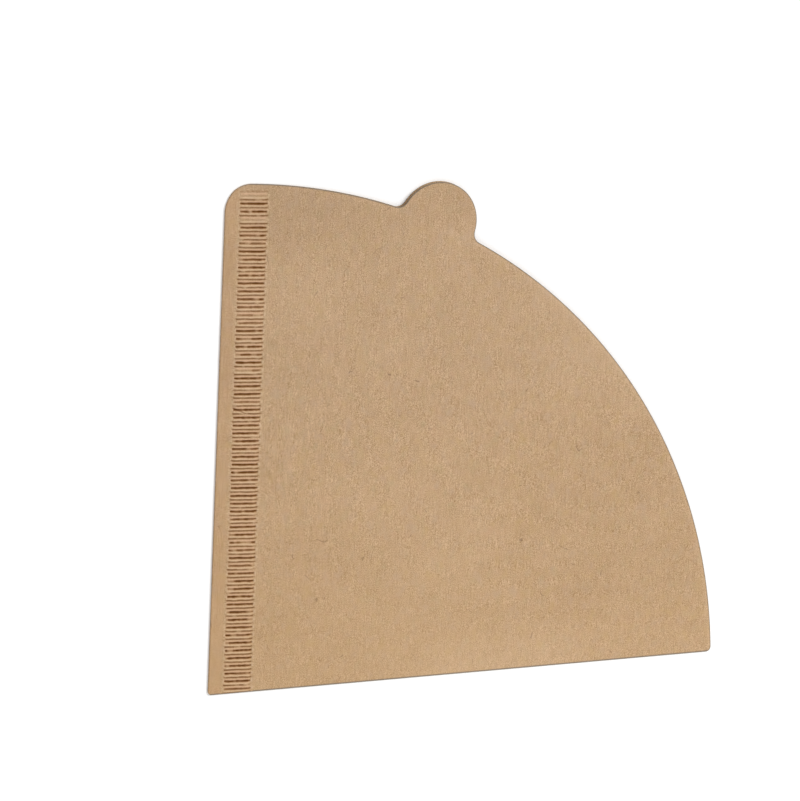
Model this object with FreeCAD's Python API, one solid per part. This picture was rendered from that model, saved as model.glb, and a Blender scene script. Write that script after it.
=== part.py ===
import FreeCAD, Part
import math
import os

# Cone filter of brown creped paper, lying flat: one sheet folded in two, with its loose edges
# crimped together into a seam, and a round pull tab on its open mouth.
# X runs along the fold, Y along the seam and Z up through the two leaves. All sizes are in mm.

# The sheet
PAPER = 0.22                # thickness of the creped paper
LEAF_GAP = 0.12             # space that the crepe keeps between the two leaves
MOUTH_GAPE = 1.6            # how much further the leaves part at the middle of the mouth

# The cut outline, measured from the tip where the fold meets the seam's cut edge
MOUTH_RADIUS = 155.0        # the mouth is one arc
MOUTH_CENTRE_DROP = 12.1    # the arc's centre lies this far beyond the fold, in line with the seam edge
SEAM_CORNER_RADIUS = 7.5    # round corner between the seam edge and the mouth
FOLD_CORNER_RADIUS = 1.5    # round corner between the mouth and the fold
TIP_RADIUS = 1.2            # round corner at the tip
TAB_RADIUS = 11.3           # the pull tab is a disc whose centre lies on the mouth's arc
TAB_ANGLE = 66.2            # degrees from the fold's direction, seen from the arc's centre
TAB_NECK_RADIUS = 3.0       # hollow rounding where the tab joins the mouth

# The crimped seam: a ladder of rounded ribs, with a deep groove and a shallow one in turn
SEAM_MARGIN = 4.4           # plain strip between the cut edge and the crimp
CRIMP_WIDTH = 7.7           # length of a rib
CRIMP_START = 0.33          # plain strip between the fold and the first rib
CRIMP_END_MARGIN = 1.5      # least plain strip between the last rib and the mouth
CRIMP_PITCH = 2.194         # from one deep groove to the next
CRIMP_TAPER = 0.7           # ribs and grooves run out over this length at their ends
RIB_RISE = 0.24             # how far the ribs stand above the front leaf
RIB_FACETS = 4              # flats that round a rib from groove to groove
DEEP_GROOVE = 0.50          # below the tops of the ribs, on the front
BACK_DEEP_GROOVE = 0.28     # on the back, under the front's shallow groove
BACK_SHALLOW_GROOVE = 0.10  # on the back, under the front's deep groove

# Worked out from the sizes above
FLAT_THICKNESS = 2 * PAPER + LEAF_GAP
SEAM_END = SEAM_MARGIN + CRIMP_WIDTH
SEAM_LENGTH = MOUTH_RADIUS - MOUTH_CENTRE_DROP
RIB_PAIRS = int((SEAM_LENGTH - CRIMP_START - CRIMP_END_MARGIN) / CRIMP_PITCH)
BEYOND = 2 * MOUTH_RADIUS   # clears the whole outline, for blanks and cutters


def point(x, y, z=0.0):
    return FreeCAD.Vector(x, y, z)


def box(x0, x1, y0, y1, z0, z1):
    return Part.makeBox(x1 - x0, y1 - y0, z1 - z0, point(x0, y0, z0))


def prism(points, direction):
    """The solid of a flat polygon pushed along a direction."""
    return Part.Face(Part.makePolygon(points + points[:1])).extrude(direction)


def on_mouth(turn):
    """The point of the mouth's arc at an angle in radians, seen from the arc's centre."""
    return MOUTH_RADIUS * math.cos(turn), MOUTH_RADIUS * math.sin(turn) - MOUTH_CENTRE_DROP


def upright_edge(solid, x, y):
    """The upright edge of a prism nearest to a point of its outline."""
    upright = [e for e in solid.Edges if abs(e.tangentAt(e.FirstParameter).z) > 0.99]
    return min(upright, key=lambda e: math.hypot(e.CenterOfMass.x - x, e.CenterOfMass.y - y))


def cut_outline(height):
    """The outline that the die cuts, as a solid of that height standing on Z = 0."""
    disc = Part.makeCylinder(MOUTH_RADIUS, height, point(0, -MOUTH_CENTRE_DROP))
    quarter = disc.common(box(0, BEYOND, 0, BEYOND, 0, height))
    tab_turn = math.radians(TAB_ANGLE)
    tab = Part.makeCylinder(TAB_RADIUS, height, point(*on_mouth(tab_turn)))
    blank = quarter.fuse(tab).removeSplitter()
    neck_turn = 2 * math.asin(TAB_RADIUS / 2 / MOUTH_RADIUS)
    fold_turn = math.asin(MOUTH_CENTRE_DROP / MOUTH_RADIUS)
    corners = [
        ((0, 0), TIP_RADIUS),
        ((0, SEAM_LENGTH), SEAM_CORNER_RADIUS),
        (on_mouth(tab_turn + neck_turn), TAB_NECK_RADIUS),
        (on_mouth(tab_turn - neck_turn), TAB_NECK_RADIUS),
        (on_mouth(fold_turn), FOLD_CORNER_RADIUS),
    ]
    for (x, y), radius in corners:
        blank = blank.makeFillet(radius, [upright_edge(blank, x, y)])
    return blank


def folded_slab(z0, z1, fold_y):
    """A slab between two heights whose side along the fold is a half round that touches fold_y."""
    radius = (z1 - z0) / 2
    flat = box(-BEYOND, BEYOND, fold_y + radius, BEYOND, z0, z1)
    start = point(-BEYOND, fold_y + radius, z0 + radius)
    bend = Part.makeCylinder(radius, 2 * BEYOND, start, point(1, 0, 0))
    return flat.fuse(bend).removeSplitter()


def gape(z):
    """The space that opens above height z as the leaves part. It is the top of a very flat cone,
    whose apex is the filter's own tip, where the inner edge of the seam meets the inside of the
    fold. The cone leans so that it passes height z along the fold and along the seam."""
    mouth_reach = MOUTH_RADIUS - (SEAM_END + PAPER + MOUTH_CENTRE_DROP) / math.sqrt(2)
    rise = math.atan(MOUTH_GAPE / mouth_reach)
    middle = math.radians(45)
    lean = math.atan((math.cos(rise) - math.cos(middle)) / math.sin(rise))
    half_angle = lean + rise
    axis = point(math.cos(lean) * math.cos(middle), math.cos(lean) * math.sin(middle), -math.sin(lean))
    base, height = BEYOND * math.sin(half_angle), BEYOND * math.cos(half_angle)
    cone = Part.makeCone(0, base, height, point(SEAM_END, PAPER, z), axis)
    return cone.common(box(-BEYOND, BEYOND, -BEYOND, BEYOND, z, z + BEYOND))


def rounded_ribs(ys, depths, z_top, inward):
    """Points of a row of ribs, rounded by flats between grooves at ys with these depths below z_top."""
    points = []
    for y0, y1, d0, d1 in zip(ys, ys[1:], depths, depths[1:]):
        for step in range(RIB_FACETS):
            share = step / RIB_FACETS
            depth = (d0 if share < 0.5 else d1) * (2 * share - 1) ** 2
            points.append(point(SEAM_MARGIN, y0 + share * (y1 - y0), z_top + inward * depth))
    return points + [point(SEAM_MARGIN, ys[-1], z_top + inward * depths[-1])]


def crimp():
    """The crimped strip of the seam, both leaves pressed into one, and the space that it takes."""
    grooves = range(2 * RIB_PAIRS + 1)
    ys = [CRIMP_START + groove * CRIMP_PITCH / 2 for groove in grooves]
    front = [DEEP_GROOVE if groove % 2 else RIB_RISE for groove in grooves]
    back = [BACK_SHALLOW_GROOVE if groove % 2 else BACK_DEEP_GROOVE for groove in grooves]
    back[0] = back[-1] = 0
    top = FLAT_THICKNESS + RIB_RISE
    profile = rounded_ribs(ys, front, top, -1) + rounded_ribs(ys, back, 0, 1)[::-1]
    ribs = prism(profile, point(CRIMP_WIDTH, 0))
    length = point(0, ys[-1] - ys[0])
    loaf_section = [
        (SEAM_MARGIN, 0),
        (SEAM_MARGIN, FLAT_THICKNESS),
        (SEAM_MARGIN + CRIMP_TAPER, top),
        (SEAM_END - CRIMP_TAPER, top),
        (SEAM_END, FLAT_THICKNESS),
        (SEAM_END, 0),
    ]
    strip = ribs.common(prism([point(x, ys[0], z) for x, z in loaf_section], length))
    for x, inward in ((SEAM_MARGIN, CRIMP_TAPER), (SEAM_END, -CRIMP_TAPER)):
        ramp_section = [(x, 0), (x + inward, FLAT_THICKNESS / 2), (x, FLAT_THICKNESS)]
        strip = strip.fuse(prism([point(px, ys[0], z) for px, z in ramp_section], length))
    footprint = box(SEAM_MARGIN, SEAM_END, ys[0], ys[-1], -PAPER, top + PAPER)
    return strip, footprint


def filter_paper():
    """The folded sheet: outline and gape first, then the space between the leaves, then the crimp."""
    flat = cut_outline(FLAT_THICKNESS).common(folded_slab(0, FLAT_THICKNESS, 0))
    bulge = gape(FLAT_THICKNESS).common(cut_outline(FLAT_THICKNESS + 2 * MOUTH_GAPE))
    between = folded_slab(PAPER, PAPER + LEAF_GAP, PAPER).fuse(gape(PAPER + LEAF_GAP))
    strip, footprint = crimp()
    sheet = flat.fuse(bulge).removeSplitter().cut(between)
    return sheet.cut(footprint).fuse(strip).removeSplitter()


def main():
    paper = filter_paper()
    bounds = cut_outline(FLAT_THICKNESS).optimalBoundingBox(False, False)
    paper.translate(point(-bounds.Center.x, -bounds.Center.y))
    os.makedirs("parts", exist_ok=True)
    paper.exportStep("parts/filter_paper.step")
    print("solids", len(paper.Solids), "faces", len(paper.Faces), "rib pairs", RIB_PAIRS)
    print("volume", round(paper.Volume, 2), "valid", paper.isValid())


main()
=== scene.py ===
import math

import bpy
import numpy as np
from mathutils import Matrix, Vector, noise
from mathutils.geometry import delaunay_2d_cdt


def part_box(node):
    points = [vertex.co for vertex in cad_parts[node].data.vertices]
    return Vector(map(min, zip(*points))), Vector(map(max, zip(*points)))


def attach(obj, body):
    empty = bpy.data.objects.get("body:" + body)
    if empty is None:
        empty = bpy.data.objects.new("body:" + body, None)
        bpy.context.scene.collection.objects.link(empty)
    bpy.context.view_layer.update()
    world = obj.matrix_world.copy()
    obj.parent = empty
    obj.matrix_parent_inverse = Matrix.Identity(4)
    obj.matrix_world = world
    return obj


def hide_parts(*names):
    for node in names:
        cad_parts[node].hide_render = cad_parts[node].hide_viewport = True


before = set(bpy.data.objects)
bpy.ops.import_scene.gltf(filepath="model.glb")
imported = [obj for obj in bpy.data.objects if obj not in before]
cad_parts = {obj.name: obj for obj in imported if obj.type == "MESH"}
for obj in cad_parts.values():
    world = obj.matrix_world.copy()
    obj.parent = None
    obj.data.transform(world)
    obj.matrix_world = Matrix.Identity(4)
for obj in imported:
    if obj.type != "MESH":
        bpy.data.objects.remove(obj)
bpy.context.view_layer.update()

# A cone filter of brown creped paper, lying flat on a pale floor. Unless a comment says otherwise,
# lengths are in mm and places are measured from the tip, where the fold meets the seam's cut edge:
# x runs along the fold and y along the seam.
MM = 0.001
CAD_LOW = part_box("filter_paper")[0]
TIP_AT = Vector((CAD_LOW.x, CAD_LOW.y, 0)) / MM

# The sheet
PAPER = 0.22
LEAF_GAP = 0.12
FLAT_THICKNESS = 2 * PAPER + LEAF_GAP
FOLD_RADIUS = FLAT_THICKNESS / 2
MOUTH_GAPE = 1.6

# The cut outline
MOUTH_RADIUS = 155.0
MOUTH_CENTRE_DROP = 12.1
SEAM_CORNER_RADIUS = 7.5
FOLD_CORNER_RADIUS = 1.5
TIP_RADIUS = 1.2
TAB_RADIUS = 11.3
TAB_TURN = math.radians(66.2)
TAB_NECK_RADIUS = 3.0
RIM_BULGE = 0.04            # the cut edge is slightly rounded
EDGE_INSET = 0.3            # the seam's cut edge lies this far inside that of the plain solid
EDGE_LINES = (0.3, 0.6, 1.0)  # rows of points lie this far inside the edge, for the painted shade on it
FOLD_SHADE = 0.8             # how much painted shade the fold gets, where 1 is as much as the cut edge

# The crimped seam
SEAM_MARGIN = 4.4
CRIMP_WIDTH = 7.7
SEAM_END = SEAM_MARGIN + CRIMP_WIDTH
CRIMP_START = 0.33
CRIMP_PITCH = 2.194
HALF_PITCH = CRIMP_PITCH / 2
GROOVES = 128               # from the fold up, an odd one is deep and an even one shallow
CRIMP_STOP = CRIMP_START + GROOVES * HALF_PITCH
RIB_RISE = 0.24
RIB_ROUGHNESS = 0.03
RIBS_LEFT = SEAM_MARGIN - 0.5
RIBS_RIGHT = SEAM_END + 0.8
RIB_END = 1.6               # the ribs slope down to the leaf over this length
DEEP_GROOVE = 0.60
BACK_DEEP_GROOVE = 0.28
BACK_SHALLOW_GROOVE = 0.06
GROOVE_LEFT = 4.6           # where a groove ends on the left, on average
GROOVE_RIGHT = 12.65
GROOVE_RAGGEDNESS = 0.25    # how far its ends stray from there
DEEP_SHORTENED = 0.08       # at each end of a deep groove
SHALLOW_LENGTHENED = 0.14   # at each end of a shallow one
GROOVE_WOBBLE = 0.09        # how far it strays from a straight line
GROOVE_SLOPE = -0.05        # the grooves run slightly askew, turned about this x
GROOVE_PIVOT = 6.2
STRIP_LEAN = -0.0023        # the whole strip leans a little, turned about this y
STRIP_PIVOT = 52.0
NICK_DEPTH = 0.15
PRESSED_LEVEL = 0.12        # inside the crimp the two leaves meet at this height
PRESSED_GAP = 0.01          # between the two leaves there
PRESSED_LEFT = (SEAM_MARGIN - 0.9, SEAM_MARGIN - 0.4)  # where they come together
PRESSED_RIGHT = (SEAM_END + 0.7, SEAM_END + 1.2)       # where they part again
THINNEST_LEAF = 0.03        # under a deep groove

# Grooves that came out weak, counted from the fold, and how much of their depth they have
WEAK_GROOVES = {
    1: 0.8, 33: 0.75, 37: 0.8, 75: 0.65, 83: 0.65, 95: 0.7, 97: 0.55, 99: 0.75, 115: 0.7,
    121: 0.12, 124: 0.8, 126: 0.9, 127: 0.12, 128: 0.4,
}

# Short nicks and creases pressed into the crimp, with painted shade in them: from x, y to x, y, half
# width and darkness
MARKS = (
    (4.6, 80.9, 6.1, 80.3, 0.24, 1.0),
    (6.1, 80.3, 8.4, 79.2, 0.16, 0.8),
    (5.6, 135.3, 7.9, 136.5, 0.13, 0.45),
    (7.5, 140.8, 8.9, 140.8, 0.18, 0.5),
)

# The crepe of the paper
CREPE_WIDTH = 1.3           # across a wrinkle, which runs along the seam
CREPE_LENGTH = 7.0
CREPE_HEIGHT = 0.022
COCKLE_SPAN = 26.0
COCKLE_HEIGHT = 0.10

# Spacing of the mesh's points
RIM_STEP = 0.8
CORNER_STEP = 0.25
FOLD_STEPS = 6
EDGE_CLEARANCE = 1.1        # inner points stay this far from the edge
FRONT_SPACING = (0.38, 2.0)  # across and along the wrinkles
BACK_SPACING = (0.9, 4.0)
LINING_SPACING = (3.0, 3.0)
FINE_COLUMNS = 0.4          # across the crimp
COARSE_COLUMNS = 0.7
FINE_ROWS = (0.0, 0.085, 0.17, 0.27, 0.5, 0.73, 0.83, 0.915)  # as shares of the way to the next groove
COARSE_ROWS = (0.0, 0.15, 0.3, 0.5, 0.7, 0.85)
LEFT_COLUMNS = (-0.5, -0.25, 0.0, 0.15, 0.3, 0.5, 0.75)       # from the crimp's left side
RIGHT_COLUMNS = (-0.5, -0.2, 0.05, 0.25, 0.4, 0.55, 0.75, 1.0, 1.25)
LAST_ROWS = (0.0, 0.25, 0.5, 0.8)                             # from the last groove
LINING_ROWS = np.arange(1.0, 142.0, 1.0)                      # from the fold


def polar(radius, turn):
    return radius * math.cos(turn), radius * math.sin(turn) - MOUTH_CENTRE_DROP


def arc(centre, radius, start, end, step):
    """Points about a step apart along an arc between two angles, without its last point."""
    count = max(2, math.ceil(abs(end - start) * radius / step))
    turns = np.linspace(start, end, count + 1)[:-1]
    return [(centre[0] + radius * math.cos(t), centre[1] + radius * math.sin(t)) for t in turns]


def direction(start, end):
    return math.atan2(end[1] - start[1], end[0] - start[0])


def corner_centres():
    """Centres of the rounded corners at the fold's end and at the seam's end."""
    fold_reach = MOUTH_RADIUS - FOLD_CORNER_RADIUS
    fold_y = FOLD_CORNER_RADIUS
    fold_x = math.sqrt(fold_reach**2 - (fold_y + MOUTH_CENTRE_DROP) ** 2)
    seam_reach = MOUTH_RADIUS - SEAM_CORNER_RADIUS
    seam_y = math.sqrt(seam_reach**2 - SEAM_CORNER_RADIUS**2) - MOUTH_CENTRE_DROP
    return (fold_x, fold_y), (SEAM_CORNER_RADIUS, seam_y)


def rim_outline():
    """The cut edge of one leaf, from the fold's end round the mouth and down the seam to the tip."""
    mouth = (0.0, -MOUTH_CENTRE_DROP)
    fold_corner, seam_corner = corner_centres()
    tab = polar(MOUTH_RADIUS, TAB_TURN)
    neck_reach, tab_reach = MOUTH_RADIUS + TAB_NECK_RADIUS, TAB_RADIUS + TAB_NECK_RADIUS
    neck_cosine = (MOUTH_RADIUS**2 + neck_reach**2 - tab_reach**2) / (2 * MOUTH_RADIUS * neck_reach)
    neck_turn = math.acos(neck_cosine)
    near, far = TAB_TURN - neck_turn, TAB_TURN + neck_turn
    near_neck, far_neck = polar(neck_reach, near), polar(neck_reach, far)
    fold_start = math.asin((FOLD_RADIUS - FOLD_CORNER_RADIUS) / FOLD_CORNER_RADIUS)
    fold_end = direction(mouth, fold_corner)
    seam_start = direction(mouth, seam_corner)
    tip_end = math.pi + math.asin((TIP_RADIUS - FOLD_RADIUS) / TIP_RADIUS)
    points = arc(fold_corner, FOLD_CORNER_RADIUS, fold_start, fold_end, CORNER_STEP)
    points += arc(mouth, MOUTH_RADIUS, fold_end, near, RIM_STEP)
    near_end = direction(near_neck, tab) % -math.tau
    points += arc(near_neck, TAB_NECK_RADIUS, near - math.pi, near_end, CORNER_STEP)
    tab_start, tab_end = direction(tab, near_neck), direction(tab, far_neck) % math.tau
    points += arc(tab, TAB_RADIUS, tab_start, tab_end, RIM_STEP / 2)
    far_start = direction(far_neck, tab) % math.tau
    points += arc(far_neck, TAB_NECK_RADIUS, far_start, far + math.pi, CORNER_STEP)
    points += arc(mouth, MOUTH_RADIUS, far, seam_start, RIM_STEP)
    points += arc(seam_corner, SEAM_CORNER_RADIUS, seam_start, math.pi, RIM_STEP / 2)
    edge_count = math.ceil((seam_corner[1] - TIP_RADIUS) / RIM_STEP)
    points += [(0.0, y) for y in np.linspace(seam_corner[1], TIP_RADIUS, edge_count + 1)[:-1]]
    points += arc((TIP_RADIUS, TIP_RADIUS), TIP_RADIUS, math.pi, tip_end, CORNER_STEP)
    points.append((TIP_RADIUS + TIP_RADIUS * math.cos(tip_end), FOLD_RADIUS))
    return np.array(points)


def cut_edge_shade(x):
    """How much painted shade the cut edge gets, which is none along the seam."""
    return smooth(x, 1.0, 9.0)


def edge_shade_tints(points, edge, rim_count):
    """How much painted shade each point of a leaf gets, of which only those on its edge get any."""
    tint = np.zeros(len(points))
    tint[edge] = FOLD_SHADE
    on_rim = edge[:rim_count]
    tint[on_rim] = cut_edge_shade(points[on_rim, 0])
    return tint


def well_inside(x, y, margin):
    """Which points lie at least a margin inside the cut edge and above the fold."""
    tab = polar(MOUTH_RADIUS, TAB_TURN)
    corner = corner_centres()[1]
    in_disc = np.hypot(x, y + MOUTH_CENTRE_DROP) < MOUTH_RADIUS - margin
    in_tab = np.hypot(x - tab[0], y - tab[1]) < TAB_RADIUS - margin
    off_corner = np.hypot(x - corner[0], y - corner[1]) > SEAM_CORNER_RADIUS - margin
    cut_off = (x < corner[0]) & (y > corner[1]) & off_corner
    return (in_disc | in_tab) & (x > margin) & (y > FOLD_RADIUS + margin) & ~cut_off


def crimp_columns(step):
    """Columns across the crimp, closer together at the ends of the grooves."""
    left = SEAM_MARGIN + np.array(LEFT_COLUMNS)
    right = SEAM_END + np.array(RIGHT_COLUMNS)
    count = round((CRIMP_WIDTH - 2.0) / step)
    middle = np.linspace(left[-1] + step, right[0] - step, count)
    return np.concatenate([left, middle, right])


def crimp_rows(steps):
    """Rows along the crimp, at the same shares of the way from each groove to the next."""
    starts = CRIMP_START + HALF_PITCH * np.arange(GROOVES)
    rows = (starts[:, None] + np.array(steps) * HALF_PITCH).ravel()
    return np.append(rows, CRIMP_STOP + np.array(LAST_ROWS))


def off_crimp(x, y, margin):
    """Which points lie at least a margin outside the crimp's own columns and rows."""
    left, right = SEAM_MARGIN + LEFT_COLUMNS[0] - margin, SEAM_END + RIGHT_COLUMNS[-1] + margin
    return ~((x > left) & (x < right) & (y < CRIMP_STOP + LAST_ROWS[-1] + margin))


def edge_lines(rim, fold):
    """Points just inside the edge of the front leaf, off the crimp."""
    edge = np.concatenate([rim, fold[1:-1]])
    ahead = np.roll(edge, -1, 0) - np.roll(edge, 1, 0)
    inward = np.stack([-ahead[:, 1], ahead[:, 0]], 1) / np.linalg.norm(ahead, axis=1)[:, None]
    lines = np.concatenate([edge + distance * inward for distance in EDGE_LINES])
    return lines[off_crimp(*lines.T, 0.3)].T


def inner_points(step_x, step_y, columns, rows):
    """Points inside the outline: a staggered lattice, and a finer grid on the crimp."""
    xs, ys = np.arange(0.5, MOUTH_RADIUS, step_x), np.arange(EDGE_CLEARANCE, MOUTH_RADIUS, step_y)
    x, y = np.meshgrid(xs, ys)
    x[1::2] += step_x / 2
    keep = well_inside(x, y, EDGE_CLEARANCE + step_x / 3) & off_crimp(x, y, step_x / 2)
    band_x, band_y = np.meshgrid(columns, rows)
    band_keep = well_inside(band_x, band_y, 0.02)
    return np.append(x[keep], band_x[band_keep]), np.append(y[keep], band_y[band_keep])


def triangulate(rim, fold, inner_x, inner_y):
    """Triangles over a leaf. Its boundary is the rim and then the fold, and comes first."""
    boundary = [tuple(p) for p in np.concatenate([rim, fold[1:-1]])]
    points = [Vector(p) for p in boundary] + [Vector(p) for p in zip(inner_x, inner_y)]
    loop = list(range(len(boundary)))
    edges = list(zip(loop, loop[1:] + loop[:1]))
    verts, _, faces, origins, _, _ = delaunay_2d_cdt(points, edges, [loop], 1, 1e-5)
    where = {origin: new for new, group in enumerate(origins) for origin in group}
    return np.array([tuple(v) for v in verts]), np.array(faces), [where[i] for i in loop]


def smooth(value, low, high):
    """0 below low, 1 above high and a smooth step between them."""
    t = np.clip((value - low) / (high - low), 0, 1)
    return t * t * (3 - 2 * t)


def between(value, rise, fall):
    """1 from the end of the rise to the start of the fall, and 0 before and after them."""
    return smooth(value, *rise) * (1 - smooth(value, *fall))


def wander(x, y, span_x, span_y, layer):
    """Smooth noise between about -1 and 1, with another pattern for each layer's number."""
    places = zip(np.ravel(x) / span_x, np.ravel(y) / span_y)
    values = [noise.noise(Vector((u, v, layer * 7.3 + 0.5))) for u, v in places]
    return np.reshape(values, np.shape(x))


def groove_wander(groove, layer):
    """A number between about -1 and 1 for each groove."""
    return wander(groove * 1.7, groove * 0, 1, 1, layer)


def gape(x, y):
    """How far the front leaf stands off the flat, on a very flat cone from the filter's own tip."""
    dx, dy = x - SEAM_END, y - PAPER
    mouth_reach = MOUTH_RADIUS - (SEAM_END + PAPER + MOUTH_CENTRE_DROP) / math.sqrt(2)
    rise = math.atan(MOUTH_GAPE / mouth_reach)
    lean = math.atan((math.cos(rise) - math.sqrt(0.5)) / math.sin(rise))
    lean_cos, lean_sin, half_cos = math.cos(lean), math.sin(lean), math.cos(lean + rise)
    along, reach = (dx + dy) / math.sqrt(2), np.hypot(dx, dy)
    square = lean_sin**2 - half_cos**2
    linear = lean_cos * lean_sin * along
    constant = lean_cos**2 * along**2 - half_cos**2 * reach**2
    height = (linear - np.sqrt(np.maximum(linear**2 - square * constant, 0))) / square
    return np.where((dx > 0) & (dy > 0), np.maximum(height, 0), 0)


def lift(x, y):
    """How far the front leaf is raised, by the gape and by a slow cockle of the paper. Both fade
    towards the crimp, and the cockle towards the fold too."""
    cockle = COCKLE_HEIGHT * wander(x, y, COCKLE_SPAN, COCKLE_SPAN, 1)
    cockle = cockle * smooth(x, SEAM_END, SEAM_END + 20) * smooth(y, 2, 18)
    return gape(x, y) * smooth(x, SEAM_END, SEAM_END + 8) + cockle


def crepe(x, y, layer):
    """The wrinkles of the paper, which fade at the fold."""
    coarse = wander(x, y, CREPE_WIDTH, CREPE_LENGTH, layer)
    fine = wander(x, y, CREPE_WIDTH / 2, CREPE_LENGTH / 3, layer + 1)
    return CREPE_HEIGHT * (coarse + 0.6 * fine) * smooth(y, FOLD_RADIUS, 1.2)


def ladder(y):
    """The nearest groove, how far away it is as a share of the way to the next one, and 1 where
    the rib is a cream one or -1 where it is a peach one."""
    place = (y - CRIMP_START) / HALF_PITCH
    groove = np.clip(np.round(place), 0, GROOVES).astype(int)
    cream = np.where(np.floor(place) % 2 == 0, 1.0, -1.0)
    return groove, np.minimum(np.abs(place - groove), 0.5), cream


def groove_ends(groove):
    """Where a groove starts and ends. The ends are ragged, and shallow grooves are longer."""
    longer = np.where(groove % 2 == 1, -DEEP_SHORTENED, SHALLOW_LENGTHENED)
    lean = STRIP_LEAN * (CRIMP_START + groove * HALF_PITCH - STRIP_PIVOT)
    left = GROOVE_LEFT + lean - longer + GROOVE_RAGGEDNESS * groove_wander(groove, 11)
    return left, GROOVE_RIGHT + lean + longer + GROOVE_RAGGEDNESS * groove_wander(groove, 12)


def off_fold(y):
    """0 on the plain strip by the fold and 1 from the first groove on."""
    return smooth(y, CRIMP_START - 0.05, CRIMP_START + 0.1)


def in_groove(x, y, groove):
    """1 along a groove and 0 past its ends."""
    left, right = groove_ends(groove)
    along = between(x, (left - 0.15, left + 0.25), (right - 0.3, right + 0.2))
    return along * off_fold(y) * (y < CRIMP_STOP + 0.55)


def end_rim_highlights(x, y, groove):
    """1 on the painted highlights just past the ends of a groove, where the ribs' ends catch the
    light, of which the left one is fainter.
    """
    left, right = groove_ends(groove)
    right_rim = between(x, (right - 0.2, right + 0.2), (right + 0.3, right + 0.8))
    left_rim = between(x, (left - 0.8, left - 0.2), (left - 0.2, left + 0.1))
    return (0.55 * right_rim + 0.35 * left_rim) * (y < CRIMP_STOP + 0.3)


def on_ribs(x, y):
    """1 on the raised strip that the ribs stand on, falling to 0 round it."""
    across = between(x, (RIBS_LEFT, RIBS_LEFT + RIB_END), (RIBS_RIGHT - RIB_END, RIBS_RIGHT))
    return across * off_fold(y) * (1 - smooth(y, CRIMP_STOP - 0.5, CRIMP_STOP + 0.7))


def groove_strength(x, groove):
    """How deeply each groove was pressed, which changes from groove to groove and along it. The
    upper grooves are weaker in their left half."""
    weak = 1 - 0.12 * smooth(groove, 84, 108) * (1 - smooth(x, 7.5, 10))
    for index, share in WEAK_GROOVES.items():
        weak[groove == index] = share
    own, along = 0.2 * groove_wander(groove, 21), 0.36 * wander(x, groove * 5.1, 1.1, 1, 22)
    faint = smooth(wander(x, groove * 3.7, 2.4, 1, 23), 0.25, 0.5)
    return weak * np.clip(0.92 + own + along, 0.3, 1) * (1 - 0.65 * faint)


def marks(x, y):
    """How much the nicks and creases press a point in and darken it with painted shade."""
    dark = np.zeros_like(x)
    for x0, y0, x1, y1, width, share in MARKS:
        along = ((x - x0) * (x1 - x0) + (y - y0) * (y1 - y0)) / ((x1 - x0) ** 2 + (y1 - y0) ** 2)
        along = np.clip(along, 0, 1)
        off = np.hypot(x - x0 - along * (x1 - x0), y - y0 - along * (y1 - y0))
        dark = np.maximum(dark, share * (1 - smooth(off, 0, 1.6 * width)))
    return dark


def broad_light_and_shade(x, y):
    """Painted light and shade over the leaf: above 0 where it is painted lighter, as along the fold
    and just inside the mouth's rim, and below 0 where it is painted darker, as at the top.
    """
    reach = np.hypot(x, y + MOUTH_CENTRE_DROP)
    along_fold = (1 - smooth(y, 3, 18)) * smooth(x, 25, 90) * (1 - 0.8 * smooth(x, 100, 120))
    middle = between(x, (20, 60), (85, 105)) * between(y, (5, 25), (60, 85))
    upper = smooth(x, 12, 16) * between(y, (75, 90), (112, 125))
    far_side = smooth(reach, 120, 150) * smooth(x, 75, 120) * smooth(y, 65, 92)
    rim = between(MOUTH_RADIUS - reach, (0.25, 0.6), (0.6, 1.4)) * smooth(x, 12, 30)
    top = smooth(x, 4, 10) * (1 - 0.6 * smooth(x, 30, 60)) * smooth(y, 120, 134)
    left = (1 - smooth(x, 3.5, 4.6)) * between(y, (70, 100), (118, 132))
    right = smooth(x, 75, 100) * between(y, (8, 25), (62, 80))
    paler = 0.20 * along_fold + 0.06 * middle + 0.03 * upper + 0.14 * far_side + 0.25 * rim
    return paler - 0.25 * top - 0.12 * left - 0.07 * right


def broad_light_warmth(x, y):
    """A painted tint of the light over the leaf: above 0 where it is warmer, towards the fold, and
    below 0 where it is greyer, higher up.
    """
    warmer = (1 - smooth(y, 0, 80)) * (1 - 0.5 * smooth(x, 55, 105))
    return 0.27 * warmer - 0.11 * smooth(y, 60, 100)


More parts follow.
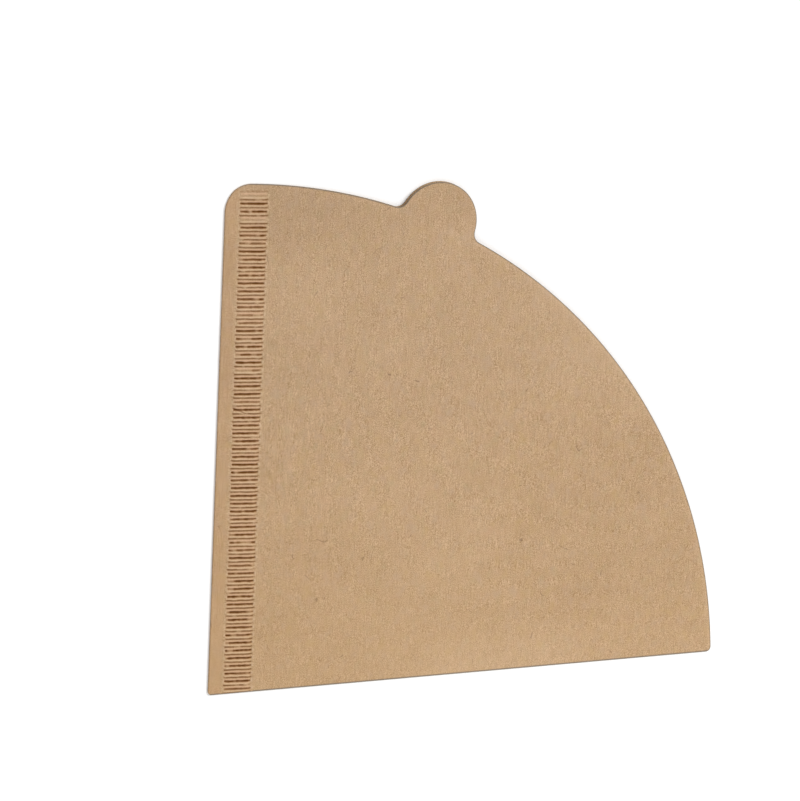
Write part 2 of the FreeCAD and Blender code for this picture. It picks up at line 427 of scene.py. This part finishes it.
def front_face(x, y):
    """The front leaf's outer face: its heights, and its tints: painted shade in and beside its
    grooves, painted highlights on its ribs, and painted light and shade over its paper.
    """
    groove, away, cream = ladder(y)
    deep = groove % 2 == 1
    ribs, cut = on_ribs(x, y), in_groove(x, y, groove) * groove_strength(x, groove)
    depth = np.where(deep, DEEP_GROOVE, RIB_RISE) * (1 - 2 * away) ** np.where(deep, 1.7, 2.6)
    rough = RIB_ROUGHNESS * wander(x, groove * 2.9, 1.1, 1, 31)
    nicks = marks(x, askew(x, y))
    height = FLAT_THICKNESS + lift(x, y) + crepe(x, y, 2) * (1 - 0.6 * ribs)
    height = height + ribs * (RIB_RISE + rough) - cut * depth - NICK_DEPTH * nicks
    left, right = groove_ends(groove)
    taper = between(x, (left - 0.3, left + 0.6), (right - 1.4, right + 0.1))
    width = 0.17 + 0.08 * taper + 0.09 * wander(x, groove * 4.3, 0.8, 1, 32)
    # Painted shade in the grooves and on their flanks, and a darker tint along the seam's margin
    deep_groove_shade = 1 - smooth(away, width - 0.13, width + 0.10)
    shallow_groove_shade = 0.78 * (1 - smooth(away, 0.05, 0.32))
    # painted shade on the grooves' flanks
    deep_fringe_shade = 1 - smooth(away, width, width + 0.24)
    shallow_fringe_shade = 0.3 * (1 - smooth(away, 0.1, 0.5))
    margin = 0.22 * (1 - smooth(x, 3.0, 4.6))
    tints = {
        # painted shade in the grooves and in the nicks and creases
        "groove": np.maximum(cut * np.where(deep, deep_groove_shade, shallow_groove_shade), nicks),
        # painted shade on the grooves' flanks, and a darker, more orange strip along the seam's margin
        "fringe_shade_and_margin": np.maximum(cut * np.where(deep, deep_fringe_shade, shallow_fringe_shade), margin),
        # painted highlights on the rib crests, cream and peach by turns
        "rib": ribs * cream * smooth(away, 0.18, 0.40) * in_groove(x, y, groove),
        # painted highlights just past the deep grooves' ends, and painted light and shade over the
        # leaf
        "pale": deep * (1 - smooth(away, 0.25, 0.7)) * end_rim_highlights(x, y, groove) + broad_light_and_shade(x, y),
        # a painted warm cast of light towards the fold, and a greyer one higher up
        "warm": broad_light_warmth(x, y),
    }
    return np.maximum(height, PRESSED_LEVEL + THINNEST_LEAF), tints


def back_face(x, y):
    """The back leaf's outer face: its heights, and how much painted shade its grooves get."""
    groove, away, _ = ladder(y)
    deep = groove % 2 == 0
    cut = in_groove(x, y, groove) * (1 - 2 * away) ** 2
    wrinkles = (CREPE_HEIGHT + crepe(x, y, 4)) / 2 * (1 - on_ribs(x, y))
    wrinkles = wrinkles * smooth(y, FOLD_RADIUS, 1.2)
    height = cut * np.where(deep, BACK_DEEP_GROOVE, BACK_SHALLOW_GROOVE) + np.maximum(wrinkles, 0)
    # painted shade in the back's grooves, stronger in the deep ones
    return height, cut * np.where(deep, 0.7, 0.25)


def pressed_together(x, y):
    """1 inside the crimp, where the two leaves touch, and 0 off it."""
    across = between(x, PRESSED_LEFT, PRESSED_RIGHT)
    return across * (1 - smooth(y, CRIMP_STOP + 0.5, CRIMP_STOP + 1.0))


def askew(x, y):
    """Where a point of the crimp lies once the grooves are turned a little out of square."""
    near = between(x, (SEAM_MARGIN - 2, SEAM_MARGIN), (SEAM_END, SEAM_END + 2))
    near = near * between(y, (FOLD_RADIUS, 1.4), (CRIMP_STOP - 1, CRIMP_STOP + 1.5))
    wobble = GROOVE_WOBBLE * wander(x, ladder(y)[0] * 2.3, 1.9, 1, 41)
    return y + near * (GROOVE_SLOPE * (x - GROOVE_PIVOT) + wobble)


def fold_line(rim):
    """Points along the fold, from the tip to the mouth, closer together under the crimp."""
    columns = np.concatenate([
        [rim[-1, 0]],
        np.arange(0.8, SEAM_MARGIN - 0.8, 0.6),
        crimp_columns(FINE_COLUMNS),
        np.arange(SEAM_END + 1.4, rim[0, 0] - 0.5, RIM_STEP),
        [rim[0, 0]],
    ])
    return np.stack([columns, np.full_like(columns, FOLD_RADIUS)], 1)


def fold_shift(columns, y):
    """Where the fold's columns lie at a height y of the outline, whose corners are rounded."""
    fold_corner = corner_centres()[0]
    left = TIP_RADIUS - math.sqrt(TIP_RADIUS**2 - (TIP_RADIUS - y) ** 2)
    right = fold_corner[0] + math.sqrt(FOLD_CORNER_RADIUS**2 - (FOLD_CORNER_RADIUS - y) ** 2)
    near_tip = 1 - smooth(columns, columns[0], columns[0] + 3)
    near_mouth = smooth(columns, columns[-1] - 5, columns[-1])
    return columns + near_tip * (left - columns[0]) + near_mouth * (right - columns[-1])


class Sheet:
    """The points, faces and tints of the folded sheet as they are put together."""

    def __init__(self):
        self.points = []
        self.faces = []
        self.tints = {name: [] for name in ("groove", "fringe_shade_and_margin", "rib", "pale", "warm", "line")}

    def add(self, x, y, z, **tints):
        """Adds points and returns their numbers."""
        first = len(self.points)
        self.points += zip(*(part.tolist() for part in np.broadcast_arrays(x, y, z)))
        count = len(self.points) - first
        for name, values in self.tints.items():
            values.extend(np.broadcast_to(tints.get(name, 0.0), count).tolist())
        return list(range(first, first + count))

    def skin(self, points, triangles, heights, upward, **tints):
        """Adds one face of a leaf, from its points and triangles seen from above."""
        ids = np.array(self.add(points[:, 0], points[:, 1], heights, **tints))
        corners = ids[triangles] if upward else ids[triangles[:, ::-1]]
        self.faces += [tuple(c) for c in corners.tolist()]
        return ids

    def strip(self, row, next_row):
        """Joins two rows of as many points by quads."""
        self.faces += zip(row, row[1:], next_row[1:], next_row)


def add_leaves(sheet, rim, fold):
    """Adds the four faces of the two leaves and returns their boundaries, from the top down."""
    inner = inner_points(*FRONT_SPACING, crimp_columns(FINE_COLUMNS), crimp_rows(FINE_ROWS))
    inner = np.append(inner, edge_lines(rim, fold), axis=1)
    points, triangles, edge = triangulate(rim, fold, *inner)
    x, y = points.T
    height, tints = front_face(x, y)
    # Painted shade along the front leaf's cut edge and fold
    line = edge_shade_tints(points, edge, len(rim))
    shown = np.stack([x, askew(x, y)], 1)
    top = sheet.skin(shown, triangles, height, True, line=line, **tints)[edge]

    inner = inner_points(*BACK_SPACING, crimp_columns(COARSE_COLUMNS), crimp_rows(COARSE_ROWS))
    points, triangles, edge = triangulate(rim, fold, *inner)
    # The back's grooves get painted shade
    height, dark = back_face(*points.T)
    # Painted shade along the back leaf's cut edge and fold
    line = edge_shade_tints(points, edge, len(rim))
    bottom = sheet.skin(points, triangles, height, False, groove=dark, line=line)[edge]

    inner = inner_points(*LINING_SPACING, np.array(PRESSED_LEFT + PRESSED_RIGHT), LINING_ROWS)
    points, triangles, edge = triangulate(rim, fold, *inner)
    x, y = points.T
    pressed = pressed_together(x, y)
    under_front = (PAPER + LEAF_GAP + lift(x, y)) * (1 - pressed)
    under_front = under_front + (PRESSED_LEVEL + PRESSED_GAP / 2) * pressed
    over_back = PAPER * (1 - pressed) + (PRESSED_LEVEL - PRESSED_GAP / 2) * pressed
    upper_lining = sheet.skin(points, triangles, under_front, False)[edge]
    lower_lining = sheet.skin(points, triangles, over_back, True)[edge]
    return [list(ids) for ids in (top, upper_lining, lower_lining, bottom)]


def add_fold(sheet, columns, upper, lower, radius, outward):
    """Bends a half round from the upper row of points to the lower one, and returns its rows."""
    rows = [upper]
    for step in range(1, FOLD_STEPS):
        turn = math.pi * step / FOLD_STEPS
        y = FOLD_RADIUS - radius * math.sin(turn)
        z = FOLD_RADIUS + radius * math.cos(turn)
        # The fold's outer face gets painted shade
        rows.append(sheet.add(fold_shift(columns, y), y, z, line=FOLD_SHADE if outward else 0.0))
    rows.append(lower)
    for row, next_row in zip(rows, rows[1:]):
        if outward:
            sheet.strip(next_row, row)
        else:
            sheet.strip(row, next_row)
    return rows


def edge_ring(upper, lower, rows, count):
    """The points round the whole cut edge: front rim, tip, back rim, and the fold's mouth end."""
    ring = upper[:count] + [row[0] for row in rows[1:-1]]
    return ring + lower[:count][::-1] + [row[-1] for row in rows[-2:0:-1]]


def build_sheet():
    """The whole sheet: its leaves, its fold inside and out, and its cut edge all round."""
    rim = rim_outline()
    fold = fold_line(rim)
    sheet = Sheet()
    top, upper_lining, lower_lining, bottom = add_leaves(sheet, rim, fold)
    count = len(rim)
    along_fold = [edge[count - 1 :] + edge[:1] for edge in (top, upper_lining, lower_lining, bottom)]
    outer_rows = add_fold(sheet, fold[:, 0], along_fold[0], along_fold[3], FOLD_RADIUS, True)
    inner_rows = add_fold(sheet, fold[:, 0], along_fold[1], along_fold[2], LEAF_GAP / 2, False)
    outer_ring = edge_ring(top, bottom, outer_rows, count)
    inner_ring = edge_ring(upper_lining, lower_lining, inner_rows, count)

    outer_at = np.array([sheet.points[i] for i in outer_ring])
    inner_at = np.array([sheet.points[i] for i in inner_ring])
    middle = (outer_at + inner_at) / 2
    outward = np.cross(np.roll(middle, -1, 0) - np.roll(middle, 1, 0), outer_at - inner_at)
    middle = middle + RIM_BULGE * outward / np.linalg.norm(outward, axis=1)[:, None]
    # Painted shade along the cut edge, none along the seam
    middle_ring = sheet.add(*middle.T, line=cut_edge_shade(middle[:, 0]))
    for lower, upper in ((inner_ring, middle_ring), (middle_ring, outer_ring)):
        sheet.strip(lower + lower[:1], upper + upper[:1])
    return sheet


def sheet_object():
    """The folded sheet as one closed mesh that stands in for the plain solid."""
    sheet = build_sheet()
    mesh = bpy.data.meshes.new("creped_filter_paper")
    points = np.array(sheet.points)
    points[:, 0] += EDGE_INSET * (1 - smooth(points[:, 0], 0, PRESSED_LEFT[0]))
    places = (points + np.array(TIP_AT)) * MM
    mesh.from_pydata(places.tolist(), [], sheet.faces)
    for name, values in sheet.tints.items():
        layer = mesh.attributes.new(name, "FLOAT", "POINT")
        layer.data.foreach_set("value", np.array(values, dtype=np.float32))
    mesh.polygons.foreach_set("use_smooth", [True] * len(mesh.polygons))
    mesh.update()
    paper = bpy.data.objects.new("creped_filter_paper", mesh)
    bpy.context.scene.collection.objects.link(paper)
    return paper


# The paper's colours and the painted light and shade on it, as linear red, green and blue
PAPER_DARK = (0.254, 0.152, 0.063)
PAPER_LIGHT = (0.607, 0.417, 0.263)
PEACH = (0.465, 0.280, 0.170)
KHAKI = (0.382, 0.298, 0.166)
# a grey tint of the paper, also painted as the cooler light higher up the leaf
GREYED_AND_COOL_LIGHT = (0.420, 0.292, 0.196)
YELLOWED = (0.438, 0.292, 0.140)
# painted shade in the grooves and in the nicks and creases
GROOVE_SHADE_COLOUR = (0.136, 0.050, 0.007)
# painted shade on the grooves' flanks, also a darker, more orange tint along the seam's margin
FRINGE_SHADE_AND_MARGIN_COLOUR = (0.420, 0.195, 0.068)
# painted highlights on the rib crests, cream and peach by turns
CREAM_RIB_HIGHLIGHT = (0.714, 0.512, 0.335)
PEACH_RIB_HIGHLIGHT = (0.679, 0.429, 0.280)
# a painted warm cast of light
PAINTED_WARM_LIGHT = (0.460, 0.288, 0.137)
# painted highlights and painted shade over the leaf
PAINTED_HIGHLIGHT_PAPER = (0.679, 0.502, 0.343)
PAINTED_SHADE_PAPER = (0.223, 0.143, 0.080)
# painted shade along the cut edge and the fold
EDGE_SHADE_COLOUR = (0.115, 0.112, 0.098)
FIBRE_COLOUR = (0.134, 0.080, 0.045)


class Nodes:
    """A short way to write a material's nodes."""

    def __init__(self, tree):
        self.tree = tree
        self.layers = 0

    def add(self, kind, links=(), **settings):
        """Makes a node, sets its properties, and links its inputs by name."""
        node = self.tree.nodes.new("ShaderNode" + kind)
        for name, value in settings.items():
            setattr(node, name, value)
        for name, source in dict(links).items():
            self.tree.links.new(source, node.inputs[name])
        return node

    def calc(self, operation, *values, clamp=False):
        """A math node. A number or a socket can be given for each value."""
        node = self.add("Math", operation=operation, use_clamp=clamp)
        for socket, value in zip(node.inputs, values):
            if isinstance(value, (int, float)):
                socket.default_value = value
            else:
                self.tree.links.new(value, socket)
        return node.outputs[0]

    def blend(self, value, factor, first, second):
        """From the first colour to the second, by factor times the value, kept between 0 and 1.
        A colour or a socket can be given for each."""
        node = self.add("Mix", data_type="RGBA")
        self.tree.links.new(self.calc("MULTIPLY", value, factor, clamp=True), node.inputs[0])
        for socket, value in ((node.inputs[6], first), (node.inputs[7], second)):
            if isinstance(value, tuple):
                socket.default_value = (*value, 1.0)
            else:
                self.tree.links.new(value, socket)
        return node.outputs[2]

    def noise(self, place, across, along, detail, roughness=0.5):
        """Noise about 0.5, whose blobs measure so much across and along the seam, in mm. Each call
        has a pattern of its own, which depends on how many came before it."""
        self.layers += 1
        mapping = self.add("Mapping", {"Vector": place})
        mapping.inputs["Location"].default_value = (self.layers * 17.3, self.layers * 9.1, 0.0)
        mapping.inputs["Scale"].default_value = (1 / across, 1 / along, 1 / across)
        node = self.add("TexNoise", {"Vector": mapping.outputs[0]})
        node.inputs["Scale"].default_value = 1.0
        node.inputs["Detail"].default_value = detail
        node.inputs["Roughness"].default_value = roughness
        return node.outputs["Fac"]

    def ramp(self, value, low, high):
        """0 at low and 1 at high, where low may be the larger."""
        node = self.add("MapRange", {"Value": value}, interpolation_type="SMOOTHSTEP")
        node.inputs["From Min"].default_value = low
        node.inputs["From Max"].default_value = high
        return node.outputs[0]

    def total(self, base, *parts):
        """A base plus each noise, taken about 0.5, times its strength."""
        for value, strength in parts:
            part = self.calc("MULTIPLY", self.calc("SUBTRACT", value, 0.5), strength)
            base = self.calc("ADD", part, base)
        return base

    def attribute(self, name):
        return self.add("Attribute", attribute_name=name).outputs["Fac"]


def paper_material():
    """Brown creped paper: short wrinkles along the seam, soft mottling, flecks and dark fibres, with
    painted shade in its grooves and along its edges, painted highlights on its ribs, and painted light
    and shade over the leaf.
    """
    material = bpy.data.materials.new("brown_creped_paper")
    material.use_nodes = True
    tree = material.node_tree
    tree.nodes.clear()
    n = Nodes(tree)
    to_mm = n.add("Mapping", {"Vector": n.add("TexCoord").outputs["Object"]})
    to_mm.inputs["Scale"].default_value = (1 / MM,) * 3
    place = to_mm.outputs[0]

    streaks = n.noise(place, across=0.12, along=3.6, detail=1.0)
    grain = n.noise(place, across=0.11, along=0.24, detail=1.0)
    clouds = n.noise(place, across=3.2, along=4.0, detail=2.0)
    blotches = n.noise(place, across=18.0, along=18.0, detail=2.0)
    hue = n.noise(place, across=2.4, along=3.0, detail=2.0, roughness=0.6)
    warmth = n.noise(place, across=2.8, along=3.4, detail=2.0, roughness=0.6)
    strands = n.noise(place, across=6.0, along=7.0, detail=0.0)
    patches = n.noise(place, across=3.2, along=3.2, detail=0.0)
    wrinkles = n.noise(place, across=1.2, along=5.0, detail=2.0)

    # Fibres lie where the strands' noise passes its middle, and only in a few patches
    off_strand = n.calc("ABSOLUTE", n.calc("SUBTRACT", strands, 0.5))
    fibres = n.calc("MULTIPLY", n.ramp(off_strand, 0.010, 0.002), n.ramp(patches, 0.72, 0.75))
    warm, rib, pale = n.attribute("warm"), n.attribute("rib"), n.attribute("pale")

    tone = n.total(0.5, (streaks, 1.05), (grain, 3.5), (clouds, 0.20), (blotches, 0.28))
    colour = n.blend(tone, 1.0, PAPER_DARK, PAPER_LIGHT)
    for value, factor, tint in (
        (n.ramp(hue, 0.5, 0.8), 0.37, PEACH),
        (n.ramp(hue, 0.5, 0.2), 0.37, KHAKI),
        (n.ramp(warmth, 0.5, 0.8), 0.58, GREYED_AND_COOL_LIGHT),
        (n.ramp(warmth, 0.5, 0.2), 0.58, YELLOWED),
        (fibres, 0.6, FIBRE_COLOUR),
        # a painted warm cast of light towards the fold, and a greyer one higher up
        (warm, 1.0, PAINTED_WARM_LIGHT),
        (warm, -1.0, GREYED_AND_COOL_LIGHT),
        # painted highlights on the rib crests, cream and peach by turns
        (rib, 0.55, CREAM_RIB_HIGHLIGHT),
        (rib, -0.60, PEACH_RIB_HIGHLIGHT),
        # painted highlights past the grooves' ends, and painted light and shade over the leaf
        (pale, 0.6, PAINTED_HIGHLIGHT_PAPER),
        (pale, -0.6, PAINTED_SHADE_PAPER),
        # painted shade along the cut edge and the fold
        (n.attribute("line"), 0.9, EDGE_SHADE_COLOUR),
        # painted shade on the grooves' flanks, and a darker, more orange strip along the seam's margin
        (n.attribute("fringe_shade_and_margin"), 0.5, FRINGE_SHADE_AND_MARGIN_COLOUR),
        # painted shade in the grooves and in the nicks and creases
        (n.attribute("groove"), 1.0, GROOVE_SHADE_COLOUR),
    ):
        colour = n.blend(value, factor, colour, tint)

    relief = n.total(0.0, (streaks, 0.03), (grain, 0.02), (wrinkles, 0.012))
    bump = n.add("Bump", {"Height": relief})
    bump.inputs["Distance"].default_value = MM
    bump.inputs["Strength"].default_value = 0.8
    shader = n.add("BsdfPrincipled", {"Base Color": colour, "Normal": bump.outputs[0]})
    shader.inputs["Roughness"].default_value = 0.9
    shader.inputs["Specular IOR Level"].default_value = 0.2
    n.add("OutputMaterial", {"Surface": shader.outputs[0]})
    return material


# The photograph's viewpoint, in mm from the tip
CAMERA_AT = Vector((-521.7, 431.6, 1275.9))
CAMERA_TARGET = Vector((53.9, 80.1, FLAT_THICKNESS))
CAMERA_ROLL = math.radians(2.54)
CAMERA_LENS = 236.88


def add_camera():
    """A camera whose upright lies along the seam, but for its roll."""
    data = bpy.data.cameras.new("camera")
    data.sensor_fit = "HORIZONTAL"
    data.sensor_width = 36.0
    data.lens = CAMERA_LENS
    data.clip_start = 0.01
    data.clip_end = 20.0
    camera = bpy.data.objects.new("camera", data)
    bpy.context.scene.collection.objects.link(camera)
    back = (CAMERA_AT - CAMERA_TARGET).normalized()
    right = Vector((0, 1, 0)).cross(back).normalized()
    up = back.cross(right)
    turn = Matrix((right, up, back)).transposed() @ Matrix.Rotation(CAMERA_ROLL, 3, "Z")
    camera.matrix_world = Matrix.Translation((CAMERA_AT + TIP_AT) * MM) @ turn.to_4x4()
    bpy.context.scene.camera = camera


def matt_material(name, colour):
    """A matt material of one colour."""
    material = bpy.data.materials.new(name)
    material.use_nodes = True
    shader = material.node_tree.nodes["Principled BSDF"]
    shader.inputs["Base Color"].default_value = (*colour, 1.0)
    shader.inputs["Roughness"].default_value = 1.0
    shader.inputs["Specular IOR Level"].default_value = 0.0
    return material


def add_floor():
    """A wide pale floor just under the part. Its sizes are in metres."""
    half, level = 6.0, -0.00003
    mesh = bpy.data.meshes.new("floor")
    corners = [(-half, -half, level), (half, -half, level), (half, half, level), (-half, half, level)]
    mesh.from_pydata(corners, [], [(0, 1, 2, 3)])
    mesh.materials.append(matt_material("pale_floor", (0.95, 0.95, 0.95)))
    floor = bpy.data.objects.new("floor", mesh)
    bpy.context.scene.collection.objects.link(floor)


def add_softbox(name, at, size, power, colour):
    """A square area light that faces the part. Its place and size are in metres."""
    data = bpy.data.lights.new(name, "AREA")
    data.size = size
    data.energy = power
    data.color = colour
    light = bpy.data.objects.new(name, data)
    light.location = at
    light.visible_camera = False
    light.rotation_euler = (-Vector(at)).to_track_quat("-Z", "Y").to_euler()
    bpy.context.scene.collection.objects.link(light)


def add_lights():
    """An even white sky, a soft key light from the right and a little warm light at the fold."""
    scene = bpy.context.scene
    scene.view_settings.view_transform = "Standard"
    world = bpy.data.worlds.new("studio")
    world.use_nodes = True
    background = world.node_tree.nodes["Background"]
    background.inputs["Color"].default_value = (1.0, 1.0, 1.0, 1.0)
    background.inputs["Strength"].default_value = 0.785
    scene.world = world
    add_softbox("key_light", at=(0.9, 0.7, 1.3), size=0.8, power=16.8, colour=(1.0, 1.0, 1.0))
    bounce_at = (0.03, -0.17, 0.09)
    add_softbox("bounce_light", at=bounce_at, size=0.1, power=0.034, colour=(1.0, 0.9, 0.75))


def main():
    paper = sheet_object()
    paper.data.materials.append(paper_material())
    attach(paper, "root")
    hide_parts("filter_paper")
    add_camera()
    add_floor()
    add_lights()


main()
